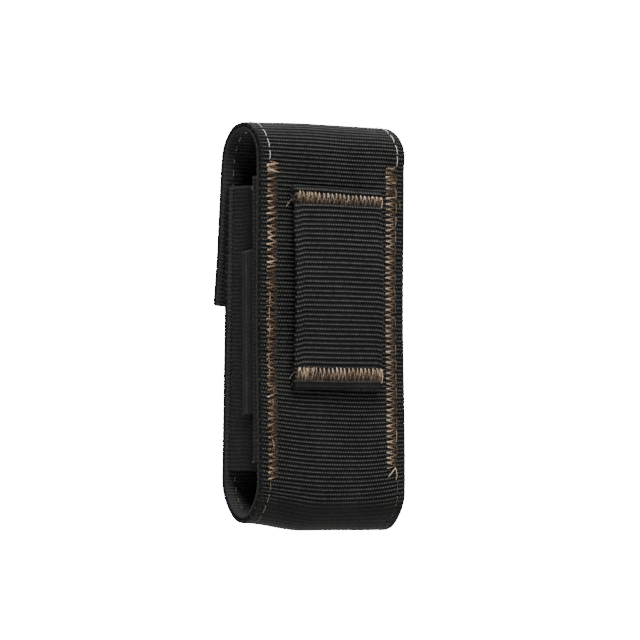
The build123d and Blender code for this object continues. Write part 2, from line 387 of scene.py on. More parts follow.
class Value:
    """A shader socket that sums can be written with. Each operation adds a Math node."""

    def __init__(self, shader, socket):
        self.shader = shader
        self.socket = socket

    def __add__(self, other):
        return self.shader.math("ADD", self, other)

    def __mul__(self, other):
        return self.shader.math("MULTIPLY", self, other)

    def __truediv__(self, other):
        return self.shader.math("DIVIDE", self, other)

    def __pow__(self, other):
        return self.shader.math("POWER", self, other)


class Shader:
    """A material's node tree, with short calls for the nodes that it is made of."""

    def __init__(self, name):
        self.material = bpy.data.materials.new(name)
        self.material.use_nodes = True
        self.tree = self.material.node_tree
        self.surface = self.tree.nodes["Principled BSDF"]

    def feed(self, value, socket):
        if isinstance(value, Value):
            self.tree.links.new(value.socket, socket)
        else:
            socket.default_value = value

    def node(self, kind, *values):
        """A new node, with values for its first inputs."""
        node = self.tree.nodes.new("ShaderNode" + kind)
        for value, socket in zip(values, node.inputs):
            self.feed(value, socket)
        return node

    def math(self, operation, *values):
        node = self.node("Math", *values)
        node.operation = operation
        return Value(self, node.outputs[0])

    def swell(self, value):
        """0 at whole numbers and 1 midway between, smooth throughout."""
        return self.math("COSINE", value * (2 * math.pi)) * -0.5 + 0.5

    def humps(self, value):
        """0 at whole numbers, with a round hump between each two."""
        return self.math("ABSOLUTE", self.math("SINE", value * math.pi))

    def attribute(self, name):
        """The three parts of a vector attribute."""
        node = self.node("Attribute")
        node.attribute_name = name
        parts = self.node("SeparateXYZ", Value(self, node.outputs["Vector"]))
        return [Value(self, socket) for socket in parts.outputs]

    def noise(self, where, scale, detail, roughness):
        """Noise at a pair of values, or at the object's own coordinates where there are none."""
        place = self.node("CombineXYZ", *where) if where else self.node("TexCoord")
        node = self.node("TexNoise")
        self.feed(Value(self, place.outputs["Vector" if where else "Object"]), node.inputs["Vector"])
        for name, value in (("Scale", scale), ("Detail", detail), ("Roughness", roughness)):
            node.inputs[name].default_value = value
        return Value(self, node.outputs[0])

    def between(self, value, low, high, to_low=0.0, to_high=1.0):
        """How far a value is from low to high, as a value from to_low to to_high."""
        return Value(self, self.node("MapRange", value, low, high, to_low, to_high).outputs[0])

    def mix(self, share, *colours):
        """From the first colour where share is 0 to the second where it is 1."""
        node = self.node("Mix", share)
        node.data_type = "RGBA"
        for colour, socket in zip(colours, node.inputs[6:8]):
            self.feed(colour if isinstance(colour, Value) else (*colour, 1.0), socket)
        return Value(self, node.outputs[2])

    def bump(self, height, distance, strength):
        node = self.node("Bump")
        for name, value in (("Height", height), ("Distance", distance), ("Strength", strength)):
            self.feed(value, node.inputs[name])
        self.set(Normal=Value(self, node.outputs[0]))

    def set(self, **values):
        for name, value in values.items():
            self.feed(value, self.surface.inputs[name.replace("_", " ")])


def grey(value, warm=1.0):
    """A nearly neutral colour, yellower where warm is above 1."""
    return 0.985 * value, value, value / warm


def woven(name, valley, crest, yarn, sharpness, fleck, sheen):
    """Ribbed nylon: thick ribs wrapped in fine yarns that sit between those of the next rib. Crests are
    painted lighter than valleys where strength is above 0, a painted highlight along each crest over painted
    shade in the valleys, and stand as dots on the rims, where it is below. Where strength is near 0 the
    colour falls to the valley's, painted shade."""
    m = Shader(name)
    x, rib, strength = m.attribute("weave")
    bulge = m.swell(rib)
    # painted highlight on the crests and painted shade in the valleys; near the valley colour where strength
    # is low
    narrow = m.between(strength, 0.0, 0.9, 0.02, bulge**sharpness)
    rim = m.math("MAXIMUM", strength * -1.0, 0.0)
    narrow = rim * (bulge**3.0 * 0.36 + -0.01) + narrow
    number = m.math("FLOOR", rib)
    strand = m.humps(number * 0.5 + x / yarn)
    along = m.noise((x * 0.45, number * 1.7), 1.0, 2.0, 0.6)
    fine = m.noise((x * 1.9, rib * 5.0), 1.0, 3.0, 0.65)
    broad = m.noise((x * 0.09, rib * 0.07), 1.0, 2.0, 0.5)
    streak = m.between(along, 0.32, 0.68, 0.6, 1.35) * m.between(fine, 0.35, 0.68, 0.38, 1.7)
    light = narrow * (strand**2.4 * 1.8 + 0.03) * streak + m.between(fine, 0.35, 0.75, -fleck, fleck)
    light = light + m.between(broad, 0.3, 0.7, -0.04, 0.05)
    m.set(Base_Color=m.mix(light, grey(valley), grey(crest, warm=1.05)))
    m.set(Roughness=m.between(fine, 0.3, 0.7, 0.58, 0.82), Specular_IOR_Level=0.075)
    m.set(Sheen_Weight=sheen, Sheen_Roughness=0.45)
    m.bump(fine * 0.55 + bulge * strand**0.7, 0.00009, 0.9)
    return m.material


def knitted(name, valley, crest, wale, fleck, sheen, ribs=0.95, stagger=0.5):
    """Covered elastic: soft cross ribs of looped yarn, lighter where the weave's third value is above 0, a
    painted highlight, and darker where it is below, painted shade.
    ribs is how strongly they show, stagger how far each rib's loops are moved sideways."""
    m = Shader(name)
    across, rib, rubbing_and_painted_light = m.attribute("weave")
    bulge = m.swell(rib)
    loops = m.humps(m.math("FLOOR", rib) * stagger + across / wale)
    streak = m.noise((across * 1.1, rib * 0.22), 1.0, 3.0, 0.6)
    fine = m.noise((across * 4.0, rib * 5.0), 1.0, 3.0, 0.65)
    light = (bulge * ribs + (0.675 - 0.5 * ribs)) * (loops * 0.8 + 0.25)
    light = light * m.between(streak, 0.3, 0.7, 0.6, 1.35) + m.between(fine, 0.35, 0.75, -fleck, fleck)
    # painted highlight where the third weave value is above 0, painted shade where it is below
    light = m.math("MAXIMUM", light, 0.0) * (rubbing_and_painted_light * 5.0 + 1.0)
    m.set(Base_Color=m.mix(light * 0.25, grey(valley), grey(4 * crest, warm=1.02)))
    m.set(Roughness=m.between(fine, 0.3, 0.7, 0.55, 0.8), Specular_IOR_Level=0.12)
    m.set(Sheen_Weight=sheen, Sheen_Roughness=0.5)
    m.bump(fine * 0.5 + (bulge * (0.5 * ribs) + 0.5) * loops, 0.0001, 0.9)
    return m.material


def spun(name, shade, main, bright):
    """Bonded two-ply thread: a helix of lighter ply over a darker groove, with a tint for each strand."""
    m = Shader(name)
    along, around, tint = m.attribute("strand")
    turns = around * 2.0 + along / -PLY_TURN
    ply = m.math("COSINE", turns * (2 * math.pi)) * 0.5 + 0.5
    fuzz = m.noise(None, 2600.0, 3.0, 0.6)
    # tint below 0 paints a strand towards the shade colour; the seams use it for painted shade
    light = ply * 0.55 + m.between(fuzz, 0.35, 0.65, -0.15, 0.3) + (tint * 0.5 + -0.1)
    base = m.mix(m.between(light, 0.0, 0.5), shade, main)
    m.set(Base_Color=m.mix(m.between(light, 0.5, 1.15), base, bright), Roughness=0.55)
    m.set(Sheen_Weight=0.08, Sheen_Roughness=0.4, Specular_IOR_Level=0.22)
    m.bump(fuzz * 0.3 + ply, 0.00006, 0.8)
    return m.material


def metal(name, colour, rubbing_and_painted_light, roughness, metallic):
    """Plated or enamelled metal with a faint orange peel and lighter, rubbed patches."""
    m = Shader(name)
    patches = m.noise(None, 420.0, 4.0, 0.6)
    grain = m.noise(None, 3500.0, 2.0, 0.5)
    m.set(Base_Color=m.mix(m.between(patches, 0.5, 0.75), colour, rubbing_and_painted_light), Metallic=metallic)
    m.set(Roughness=m.between(patches, 0.35, 0.7, roughness, roughness + 0.18))
    m.bump(grain, 0.00003, 0.35)
    return m.material


WEBBING = woven("black_webbing", 0.003, 0.066, 0.86, 6.5, 0.07, 0.01)
LINING = woven("black_lining", 0.019, 0.052, 0.58, 2.5, 0.05, 0.02)
LOOP_WEBBING = woven("black_loop_webbing", 0.004, 0.071, 0.86, 7.0, 0.07, 0.01)
ELASTIC = knitted("black_elastic", 0.003, 0.0155, 0.78, 0.22, 0.02)
ELASTIC_TAPE = knitted("black_elastic_tape", 0.003, 0.0155, 0.85, 0.06, 0.02, ribs=0.08, stagger=0.0)
BROWN_THREAD = spun("brown_thread", (0.022, 0.012, 0.0056), (0.178, 0.118, 0.071), (0.60, 0.48, 0.37))
TAN_THREAD = spun("tan_thread", (0.030, 0.022, 0.014), (0.22, 0.16, 0.10), (0.55, 0.45, 0.34))
CREAM_THREAD = spun("cream_thread", (0.075, 0.071, 0.063), (0.48, 0.45, 0.40), (0.80, 0.77, 0.71))
ENAMEL = metal("black_enamel", (0.012, 0.012, 0.012), (0.022, 0.021, 0.020), 0.32, 0.0)
BRASS = metal("antique_brass", (0.22, 0.165, 0.085), (0.36, 0.27, 0.14), 0.34, 1.0)


# ---- the strap's webbing


def smile(x, s):
    """On the lower back and round the bottom the ribs hang lower in the middle than at the edges."""
    low_part = ramp(s, S_TIP_END - 2, S_TIP_END + 3) * (1 - ramp(s, back_s(-42), back_s(-4)))
    return 1.85 * low_part * (x / HALF_WIDTH) ** 2


def slope(x, s):
    """The back's ribs rise towards +x, most below the belt loop."""
    below_loop = ramp(s, back_s(-52), back_s(-38)) * (1 - ramp(s, back_s(-20), back_s(-6)))
    back = ramp(s, S_TIP_END - 2, S_TIP_END + 6) * (1 - ramp(s, S_APEX, S_ARCH_END))
    return (0.010 + 0.020 * below_loop) * back * x


def strap_drift(x, s):
    return waver(x, s, 1.0) + smile(x, s) + slope(x, s)


def lining_drift(x, s):
    return waver(x, s + 40, 0.8)


SEAM_LOW, SEAM_HIGH = cad_box("right_back_seam")
FRONT_SEAM_LOW, FRONT_SEAM_HIGH = cad_box("right_front_seam")
SEAM_INNER, SEAM_OUTER = SEAM_LOW[0], SEAM_HIGH[0]
BACK_SEAM = (back_s(SEAM_LOW[2]), back_s(SEAM_HIGH[2]))
FRONT_SEAM = (front_s(FRONT_SEAM_HIGH[2]), front_s(FRONT_SEAM_LOW[2]))


def within(value, low, high, soft):
    return ramp(value, low - soft, low) * (1 - ramp(value, high, high + soft))


def strap_press(x, s):
    """Zigzag seams hold the cloth down in a band, each run stitch draws a short furrow, and the bends over
    the arch and round the bottom stretch the ribs flatter."""
    across = within(np.abs(x), SEAM_INNER + 0.3, SEAM_OUTER - 0.3, 0.7)
    seams = within(s, *BACK_SEAM, 0.6) + within(s, *FRONT_SEAM, 0.6)
    pressed = across * seams
    furrow = np.exp(-(((np.abs(x) - RUN_X) / 0.45) ** 2)) * (1 - seams)
    arch = within(s, S_ARCH + 9, S_ARCH_END - 9, 6)
    bottom = within(s, S_TIP - 1, S_TIP_END + 4, 4.5)
    kept = (1 - (0.6 * arch + 0.92 * bottom)) * (1 - 0.25 * pressed - 0.3 * furrow)
    return 0.13 * pressed + 0.14 * furrow, kept


def no_press(x, s):
    return np.zeros_like(x), np.ones_like(x)


def bend_between(piece, joint):
    """Looks up the hinge and bakes the piece's placing into its mesh; the piece is not bent."""
    at = Vector(next(j["pos_m"] for j in frame["joints"] if j["name"] == joint))
    lifts = joint == "flap_lift"
    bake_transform(piece)


def declare_cloth(nodes, flat_mm):
    """Hides the CAD nodes whose places the piece takes. The flat size is not used."""
    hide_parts(*nodes)
    width, length = flat_mm
    width * MM
    length * MM


layers = (
    ("webbing", OUTER_LAYER, (STRAP_RELIEF, 0.0), WEBBING, strap_drift, strap_press,
     ("outer_webbing", "crown_webbing", "flap_webbing")),
    ("lining", LINING_LAYER, (0.0, LINING_RELIEF), LINING, lining_drift, no_press,
     ("lining_webbing", "crown_lining", "flap_lining")),
)
for kind, layer, relief, material, drift, press, nodes in layers:
    lengths = (
        (f"pocket_{kind}", (0.0, S_APEX), (0.8, 0.0), nodes[:2], "belt_loop", "flap_lift"),
        (f"flap_{kind}_cover", (S_APEX, S_END), (0.0, 1.0), nodes[2:], f"pocket_{kind}", "flap_unbend"),
    )
    for name, span, bevel, stands_for, under, joint in lengths:
        strip = ribbed_strip(name, STRAP, span, layer, HALF_WIDTH, STRAP_PITCH, relief, material, drift,
                             press, bevel)
        declare_cloth(stands_for, (2 * HALF_WIDTH, span[1] - span[0]))
        bend_between(strip, joint)


# ---- the belt loop

LOOP_LOW, LOOP_HIGH = cad_box("belt_loop")
LOOP_THICKNESS = (LOOP_HIGH[1] - LOOP_LOW[1]) / 2
TOP_TACK = cad_box("belt_loop_top_bartack")
BOTTOM_TACK = cad_box("belt_loop_bottom_bartack")
LOOP_HALF = LOOP_HIGH[0]
LOOP_HEIGHT = LOOP_HIGH[2] - LOOP_LOW[2]
TOP_HEM = LOOP_HIGH[2] - TOP_TACK[0][2]
BOTTOM_HEM = BOTTOM_TACK[1][2] - LOOP_LOW[2]
LOOP_BOW = 1.0
TOP_TRIM = 0.9  # how far the top bartack stays below its CAD box, so that a rib shows above it
fold = (LOOP_THICKNESS, 180.0)
plate = (LOOP_HEIGHT - 2 * LOOP_THICKNESS, 0.0)
hems = [(hem - LOOP_THICKNESS, 0.0) for hem in (BOTTOM_HEM, TOP_HEM)]
loop_path = Path((LOOP_LOW[1], LOOP_LOW[2] + BOTTOM_HEM), -math.pi / 2, [hems[0], fold, plate, fold, hems[1]])
S_PLATE = loop_path.knots[2]
S_PLATE_END = loop_path.knots[3]


def plate_s(z):
    """Length along the loop's strip of a height on its outer plate."""
    return S_PLATE + z - (LOOP_LOW[2] + LOOP_THICKNESS)


def loop_bow(points):
    """Between the bartacks the loop's plate stands a little off its passage."""
    z = points[..., 2]
    on_plate = ramp(points[..., 1], LOOP_HIGH[1] - 1.5 * LOOP_THICKNESS, LOOP_HIGH[1] - 1.1 * LOOP_THICKNESS)
    free = ramp(z, BOTTOM_TACK[1][2], 4) * ramp(-z, -TOP_TACK[0][2], -12)
    bowed = np.array(points, float)
    bowed[..., 1] += LOOP_BOW * on_plate * free
    bowed[..., 2] += 0.5 * ramp(points[..., 0], -LOOP_HALF, LOOP_HALF) * ramp(z, 30, 37)
    return bowed


def loop_press(x, s):
    """The bartacks and the lower fold press the ribs flat, and the plate's edges roll down a little."""
    tacks = within(s, plate_s(TOP_TACK[0][2]), plate_s(TOP_TACK[1][2]) - TOP_TRIM, 0.3)
    tacks = tacks + within(s, plate_s(BOTTOM_TACK[0][2]), plate_s(BOTTOM_TACK[1][2]), 0.5)
    lower = within(s, S_PLATE - 6, plate_s(BOTTOM_TACK[0][2]) - 0.2, 0.3)
    edge = ramp(np.abs(x), LOOP_HALF - 0.7, LOOP_HALF)
    return 0.2 * tacks + 0.1 * lower + 0.08 * edge, 1 - 0.3 * tacks - 0.75 * lower


def loop_drift(x, s):
    """The ribs' ends hang down at the plate's edges, most at +x."""
    hang = 0.6 * ramp(x, LOOP_HALF - 3.0, LOOP_HALF) + 0.3 * ramp(-x, LOOP_HALF - 2.5, LOOP_HALF)
    return waver(x, s + 90, 0.9) - within(s, S_PLATE + 6, S_PLATE_END - 6, 4) * hang


loop_span, loop_layer = (0.0, loop_path.length), (0.0, LOOP_THICKNESS - 0.1)
belt_loop = ribbed_strip("belt_loop_strap", loop_path, loop_span, loop_layer, LOOP_HALF, LOOP_PITCH,
                         (LOOP_RELIEF, 0.0), LOOP_WEBBING, loop_drift, loop_press, shape=loop_bow,
                         fullness=0.05, edge_relief=1.0, groove_depth=0.03, rim=0.0)
flat_size = (2 * LOOP_HALF, loop_path.length)
declare_cloth(["belt_loop"], flat_size)
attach(belt_loop, "sheath")


# ---- the elastic sides


def rounded(corners, reach, steps=7):
    """A line through corners, each rounded from reach before it to reach after it."""
    corners = np.array(corners, float)
    line = [corners[0]]
    for before, corner, after in zip(corners[:-2], corners[1:-1], corners[2:]):
        start = corner + (before - corner) / np.linalg.norm(before - corner) * reach
        end = corner + (after - corner) / np.linalg.norm(after - corner) * reach
        for t in np.linspace(0, 1, steps):
            line.append((1 - t) ** 2 * start + 2 * t * (1 - t) * corner + t**2 * end)
    line.append(corners[-1])
    return np.array(line)


def spread(line, spacing):
    """More points on a line's long stretches."""
    out = [line[0]]
    for first, second in zip(line[:-1], line[1:]):
        count = max(1, math.ceil(np.linalg.norm(second - first) / spacing))
        out += [first + (second - first) * (i + 1) / count for i in range(count)]
    return np.array(out)


def elastic_sheet(name, side, plan, heights, thickness, reach, relief, material, rise, rubbing_and_painted_light, painted_shade_marks):
    """Folded elastic: its section in plan at two heights, joined by ribs up its height. plan(z) gives the
    corners of its middle line. The first of the two lists of marks gives corners with a painted highlight, as
    (corner, reach, amount), the second corners with painted shade, with the share of the width at which that
    ends. The top edge gets a painted highlight too. side is 1 at +x and -1 at -x."""
    outlines = []
    spans = [spread(rounded(plan(z), reach), 0.55) for z in heights]
    count = min(len(line) for line in spans)
    for line in spans:
        steps = distances(line)
        even = np.linspace(0, steps[-1], count)
        line = np.stack([np.interp(even, steps, line[:, i]) for i in (0, 1)], -1)
        tangent = np.gradient(line, axis=0)
        tangent /= np.linalg.norm(tangent, axis=1)[:, None]
        outlines.append((line, np.stack([tangent[:, 1], -tangent[:, 0]], -1), even))
    ribs = round((heights[1] - heights[0]) / ELASTIC_PITCH)
    phase, rib, u = rib_stations(ribs)
    share = (phase / ribs)[:, None, None]
    line = outlines[0][0] * (1 - share) + outlines[1][0] * share
    out = outlines[0][1] * (1 - share) + outlines[1][1] * share
    width = outlines[0][2]
    bump = relief * (rib_profile(u) - 0.6) * (1 + rng.normal(0, 0.12, ribs)[rib][:, None])
    reach_out = (thickness / 2 + bump)[..., None]
    outer, inner = line + out * reach_out, line - out * reach_out
    ring = np.concatenate([outer, inner[:, ::-1]], 1)
    across = np.concatenate([width, width[::-1]])
    z = heights[0] + (heights[1] - heights[0]) * share[..., 0] + 0 * ring[..., 0]
    wander = 0.12 * np.sin(across / 2.3 + z / 17) + 0.08 * np.sin(across / 1.1 - z / 9)
    ends = ramp(np.minimum(z - heights[0], heights[1] - z), 0, 2.5)
    # painted highlight along the top edge
    painted_light_amount = 0.5 * np.exp(-(((heights[1] - z) / 0.5) ** 2))
    # painted highlight at the first list's corners, painted shade at the second's
    for number, far, amount, *ends_at in (*rubbing_and_painted_light, *painted_shade_marks):
        corner = np.array([plan(height)[number] for height in heights])
        corner = corner[0] * (1 - share[:, 0]) + corner[1] * share[:, 0]
        distance = np.linalg.norm(ring - corner[:, None], axis=-1)
        near = amount * np.exp(-((distance / far) ** 2))
        for limit in ends_at:
            near = near * (1 - ramp(across / width[-1], limit, limit + 0.03))
        painted_light_amount = np.maximum(painted_light_amount, near) if amount > 0 else painted_light_amount + near
    z = z + ends * wander + rise(across / width[-1])
    rings = np.stack([side * ring[..., 0], ring[..., 1], z], -1)
    weave = np.stack([0 * z + across, np.repeat(phase[:, None], z.shape[1], 1), painted_light_amount], -1)
    piece = loft(name, settle(rings), weave, material)
    return piece, float(width[-1])


GUSSET_LOW, GUSSET_HIGH = cad_box("right_gusset")
SIDE_LOOP_LOW, SIDE_LOOP_HIGH = cad_box("right_side_loop")
ELASTIC_THICKNESS = 0.9
GUSSET_SPAN = (-43.4, 38.0)
PLEAT_FOLD = (0.63, 0.74)  # where the pleat's inner fold and its lip lie, as shares of the elastic's width
PLEAT = (21.3, 5.3)  # the pleat's inner fold in plan
PLEAT_LIP_Y = 3.85
SIDE_LOOP_LAYER = 0.6
SIDE_LOOP_RISE = 1.6
NOSE_SWELL = 0.75


def front_inner_y(z):
    """The lining's inner face on the front panel, at a height."""
    lean = math.radians(FRONT_TILT)
    return MOUTH[0] - (MOUTH[1] - z) * math.tan(lean) + STRAP_THICKNESS / math.cos(lean)


def gusset_plan(z):
    """The gusset in plan: sewn to the front panel, sinking inwards to the pleat, out again round the pleat's
    lip and back along the strap's edge to its flange on the back panel."""
    half = ELASTIC_THICKNESS / 2
    front = front_inner_y(z) + half
    edge = HALF_WIDTH - half
    back = BACK_FACE - STRAP_THICKNESS - half
    lip = PLEAT_LIP_Y + half
    return [(GUSSET_LOW[0], front), (edge, front), PLEAT, (edge, lip), (edge, back), (GUSSET_LOW[0], back)]


def side_loop_plan(z):
    """The flattened accessory loop in plan: two layers lying on the web, joined at the front by a fold that
    swells into a small tube."""
    half = ELASTIC_THICKNESS / 2
    corner = np.array([HALF_WIDTH - half, front_inner_y(z) + half])
    along = np.array(PLEAT) - corner
    along /= np.linalg.norm(along)
    out = np.array([along[1], -along[0]])

    def beside(y, away):
        return corner + along * ((y - corner[1]) / along[1]) + out * away

    inner = half + 0.08 + SIDE_LOOP_LAYER / 2
    outer = inner + 0.8
    nose = SIDE_LOOP_LOW[1] + SIDE_LOOP_LAYER / 2
    root = SIDE_LOOP_HIGH[1]
    swell = beside(nose + 0.2, outer + NOSE_SWELL), beside(nose + 1.7, outer + NOSE_SWELL)
    return [beside(root, inner), beside(nose, inner), *swell, beside(nose + 2.9, outer), beside(root, outer)]


def loop_rise(share):
    """The accessory loop's ends, tucked under the pleat, sit higher than its rounded nose."""
    return SIDE_LOOP_RISE * np.abs(2 * share - 1) - 0.5 * np.exp(-(((share - 0.42) / 0.05) ** 2))


def pleat_rise(share):
    """The part behind the pleat is sewn in a little higher than the web."""
    return (GUSSET_HIGH[2] - GUSSET_SPAN[1]) * ramp(share, *PLEAT_FOLD)


SIDES = (("right", 1), ("left", -1))
GUSSET = {
    "plan": gusset_plan, "heights": GUSSET_SPAN, "thickness": ELASTIC_THICKNESS, "reach": 0.75,
    "relief": ELASTIC_RELIEF, "material": ELASTIC, "rise": pleat_rise,
    # painted highlight along the pleat's lip, painted shade deep in the pleat's fold
    "rubbing_and_painted_light": [(3, 0.6, 0.8)], "painted_shade_marks": [(2, 5.2, -0.5, PLEAT_FOLD[0])],
}
SIDE_LOOP = {
    "plan": side_loop_plan, "heights": (SIDE_LOOP_LOW[2], SIDE_LOOP_HIGH[2]), "thickness": SIDE_LOOP_LAYER,
    "reach": 0.45, "relief": 0.02, "material": ELASTIC_TAPE, "rise": loop_rise,
    # painted highlight on the loop's swelled nose, painted shade at its outer root
    "rubbing_and_painted_light": [(2, 0.5, 0.12), (3, 0.5, 0.2)], "painted_shade_marks": [(5, 1.6, -0.12, 1.0)],
}
for name, side in SIDES:
    sheets = (
        (f"{name}_gusset_elastic", f"{name}_gusset", "pocket_lining", GUSSET),
        (f"{name}_accessory_loop", f"{name}_side_loop", f"{name}_gusset_elastic", SIDE_LOOP),
    )
    for piece_name, node, under, shape in sheets:
        piece, width = elastic_sheet(piece_name, side, **shape)
        low, high = shape["heights"]
        declare_cloth([node], (width, high - low))
        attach(piece, "sheath")


# ---- the stitches


def smooth_line(controls, steps):
    """A curve through control points (Catmull-Rom), with so many steps between each two."""
    controls = np.asarray(controls, float)
    padded = np.concatenate([[2 * controls[0] - controls[1]], controls, [2 * controls[-1] - controls[-2]]])
    t = (np.arange(steps) / steps)[None, :, None]
    p0, p1, p2, p3 = (padded[i:len(padded) - 3 + i, None] for i in range(4))
    square, cube = 2 * p0 - 5 * p1 + 4 * p2 - p3, 3 * p1 - p0 - 3 * p2 + p3
    curve = 0.5 * (2 * p1 + (p2 - p0) * t + square * t**2 + cube * t**3)
    return np.concatenate([curve.reshape(-1, controls.shape[1]), controls[-1:]])


class Thread:
    """Strands of twisted thread gathered into one mesh."""

    SIDES = 8

    def __init__(self, radius=THREAD_RADIUS):
        self.radius = radius
        self.points, self.faces, self.strand, self.count = [], [], [], 0

    def add(self, line, normals, tint=(0.0, 1.0), thickness=1.0, flatten=0.85):
        """A strand along a line. Its ends taper and the lighter ply winds round it. tint is a range to draw
        one from, or a value for each point."""
        radius = self.radius * thickness
        tints = np.full(len(line), rng.uniform(*tint)) if len(tint) == 2 else tint
        tangent = np.gradient(line, axis=0)
        tangent /= np.linalg.norm(tangent, axis=1)[:, None] + 1e-9
        across = np.cross(tangent, normals)
        across /= np.linalg.norm(across, axis=1)[:, None] + 1e-9
        up = np.cross(across, tangent)
        length = distances(line)
        angle = -math.pi / 2 + np.arange(self.SIDES) * 2 * math.pi / self.SIDES
        ends = np.minimum(length, length[-1] - length)
        taper = 0.35 + 0.65 * ramp(ends, 0, 1.2 * radius)
        lobes = 1 + 0.13 * np.cos(2 * angle[None] - 2 * math.pi * length[:, None] / PLY_TURN)
        size = (radius * taper)[:, None] * lobes
        ring = line[:, None] + across[:, None] * (size * np.cos(angle))[..., None]
        ring = ring + up[:, None] * (size * np.sin(angle) * flatten)[..., None]
        faces = loft_faces(len(line), self.SIDES)
        self.faces += [[i + self.count for i in face] for face in faces]
        self.points.append(ring.reshape(-1, 3))
        share = np.arange(self.SIDES) / self.SIDES
        strand = np.stack(np.broadcast_arrays(length[:, None], share[None], tints[:, None]), -1)
        self.strand.append(strand.reshape(-1, 3))
        self.count += len(line) * self.SIDES

    def make(self, name, material):
        points, strand = np.concatenate(self.points), np.concatenate(self.strand)
        piece = make_piece(name, settle(points), self.faces, material, {"strand": strand})
        if signed_volume(points - points[: self.SIDES].mean(0), self.faces[:200]) < 0:
            piece.data.flip_normals()
        return piece


def on_strap(controls, inside=False):
    """(x, length, height above the face) on the strap, or inside on the lining, to points and normals."""
    x, s, height = np.asarray(controls, float).T
    y, z = STRAP.at(s, STRAP_THICKNESS + height if inside else -height)
    normals = STRAP.outward(s) * (-1 if inside else 1)
    return np.stack([x, y, z], -1), normals


def on_loop(controls):
    """(x, length, height above the face) on the belt loop's strip to points and normals."""
    x, s, height = np.asarray(controls, float).T
    y, z = loop_path.at(s, -height)
    return loop_bow(np.stack([x, y, z], -1)), loop_path.outward(s)


# How far across and along a zigzag's leg its thread is, and how high above its holes, as shares
ZIGZAG_LEG = ((0.0, 0.0, 0.0), (0.18, 0.12, 0.75), (0.55, 0.52, 1.0), (0.86, 0.9, 0.6))


def zigzag(thread, place, rows, span, period, jitter, rise, holes, tint, painted_shade_fade, swap):
    """A zigzag along a span between two rows of needle holes, each row at its own height. The tint falls by
    so much from the first row to the second, painted shade across each leg. swap runs it across x."""
    legs = round(2 * (span[1] - span[0]) / period)
    half = 0.5 * (span[1] - span[0]) / legs
    controls = []
    for leg in range(legs):
        here, there = leg % 2, 1 - leg % 2
        middle_of_leg = span[0] + half * (2 * leg + 1)
        first = middle_of_leg - half + rng.normal(0, jitter)
        last = middle_of_leg + half + rng.normal(0, jitter)
        lift = rise * rng.uniform(0.8, 1.25)
        edge = rng.normal(0, 0.5 * jitter)
        sway = rng.normal(0, 0.6 * jitter)
        shade = rng.uniform(*tint)
        for share, along, raised in ZIGZAG_LEG:
            across = rows[here] + share * (rows[there] - rows[here]) + edge * (1 - share)
            height = holes[here] + share * (holes[there] - holes[here]) + raised * lift
            # painted shade: each leg darker towards its second row
            painted_shade_drop = painted_shade_fade * (here + share * (there - here))
            controls.append((across, first + along * (last - first) + sway * raised, height, shade - painted_shade_drop))
    curve = smooth_line(controls, 4)
    order = [1, 0, 2] if swap else [0, 1, 2]
    thread.add(*place(curve[:, order]), tint=curve[:, 3])


def sew(thread, place, passes, swap=False):
    """Zigzag passes over each other: the rows, span, period, jitter, rise, holes, tint and painted shade fade
    of each.
    """
    for one in passes:
        zigzag(thread, place, *one, swap)


def run_stitches(thread, x, start, end, inside=False, wobble=0.06, height=0.2, tint=(0.0, 1.0),
                 thickness=1.0):
    """A row of straight stitches along the strap. Those of the lower thread, inside, are shorter."""
    count = max(1, round((end - start) / (RUN_STITCH + RUN_GAP)))
    pitch = (end - start) / count
    gap = 2.2 * RUN_GAP if inside else RUN_GAP
    for i in range(count):
        first = start + i * pitch + rng.normal(0, wobble)
        last = first + pitch - gap * rng.uniform(0.7, 1.1)
        drift = rng.normal(0, wobble, 2)
        controls = [
            (x + drift[0], first, -HOLE_DEPTH),
            (x + drift[0], first + 0.25, 0.4 * height),
            (x + 0.5 * drift.sum(), 0.5 * (first + last), height),
            (x + drift[1], last - 0.25, 0.4 * height),
            (x + drift[1], last, -HOLE_DEPTH),
        ]
        thread.add(*on_strap(smooth_line(controls, 5), inside), tint=tint, thickness=thickness)


def loose_end(thread, controls):
    """A cut thread end through points in the sheath's millimetres, on a face that looks to +y or +x."""
    line = smooth_line(controls, 6)
    normals = np.tile([0.6, 0.8, 0.0], (len(line), 1))
    thread.add(line, normals, tint=np.linspace(-0.5, 1.1, len(line)), thickness=0.5)


def stand_in(piece, node, body=None):
    """The piece takes a CAD node's place. It rides on a body if there is one."""
    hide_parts(node)
    if body:
        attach(piece, body)
    return piece


# The left back seam is a zigzag over a lower pass painted all in the thread's shade colour, painted shade,
# sewn over once more for LOCK at its top and ending below in one open turn, LAST_TURN long. The right one is
# thicker, brighter above MIDDLE_Z and dense for START at its top, over a lower pass painted the same way. The
# run stitch shows beside both, on the right in two stretches that meet at BREAK_Z.
# tint ranges: the first paints a strand all in the shade colour, painted shade; the second paints the
# stitches inside the arch dimmer, painted shade
PAINTED_SHADE_TINT = (-2.2, -1.3)  # ranges of tint
INSIDE_PAINTED_SHADE_TINT = (-0.9, 0.2)
LOCK = 9.0
LAST_TURN = 2.7
MIDDLE_Z = 14.0
START = 3.6
BREAK_Z, RUN_TOP_Z = -18.0, 8.0
seam_low, seam_top = BACK_SEAM
middle, broken = back_s(MIDDLE_Z), back_s(BREAK_Z)

